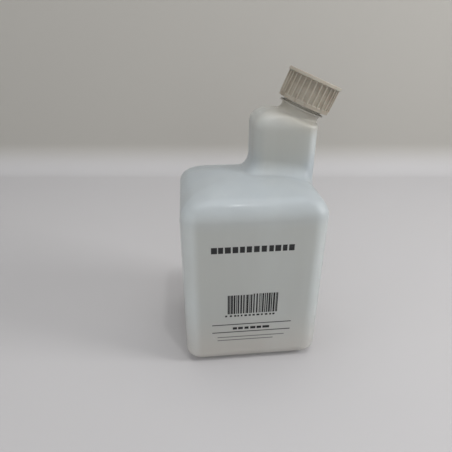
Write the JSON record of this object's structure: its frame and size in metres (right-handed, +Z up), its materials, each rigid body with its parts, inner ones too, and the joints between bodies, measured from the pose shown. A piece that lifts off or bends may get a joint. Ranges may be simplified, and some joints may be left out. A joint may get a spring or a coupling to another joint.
{
  "type": "oil dosing jug",
  "caption": "Small milky blow-moulded mixing bottle with an upright dosing chamber on its shoulder and a leaning neck closed by a ribbed screw cap.",
  "frame": {"origin": "centre of the flat base, on the plane the bottle stands on", "axes": "+Z up, +X towards the side the neck leans to and pours from, +Y towards the back, where the chamber stands; the printed face looks along -Y"},
  "size_m": [0.1146, 0.085, 0.2043],
  "materials": {
    "milky_plastic": "natural milky polyethylene, satin, slightly see-through",
    "ivory_plastic": "ivory moulded plastic, satin",
    "seal_foam": "white foamed liner, matt"
  },
  "bodies": {
    "bottle": {"bottle": "milky_plastic"},
    "seal": {"cap_seal": "seal_foam"},
    "cap": {"screw_cap": "ivory_plastic"}
  },
  "joints": [
    {"name": "cap_rise", "type": "slide", "parent": "bottle", "child": "seal", "axis": [0.3907, 0, 0.9205], "range_m": [0, 0.0181]},
    {"name": "cap_turn", "type": "hinge", "parent": "seal", "child": "cap", "pos_m": [0.0464, 0.0185, 0.1933], "axis": [0.3907, 0, 0.9205], "range_deg": [0, 1620]}
  ],
  "couplings": [
    {"joint": "cap_rise", "follows": "cap_turn", "m_per_rad": 0.00063662}
  ]
}
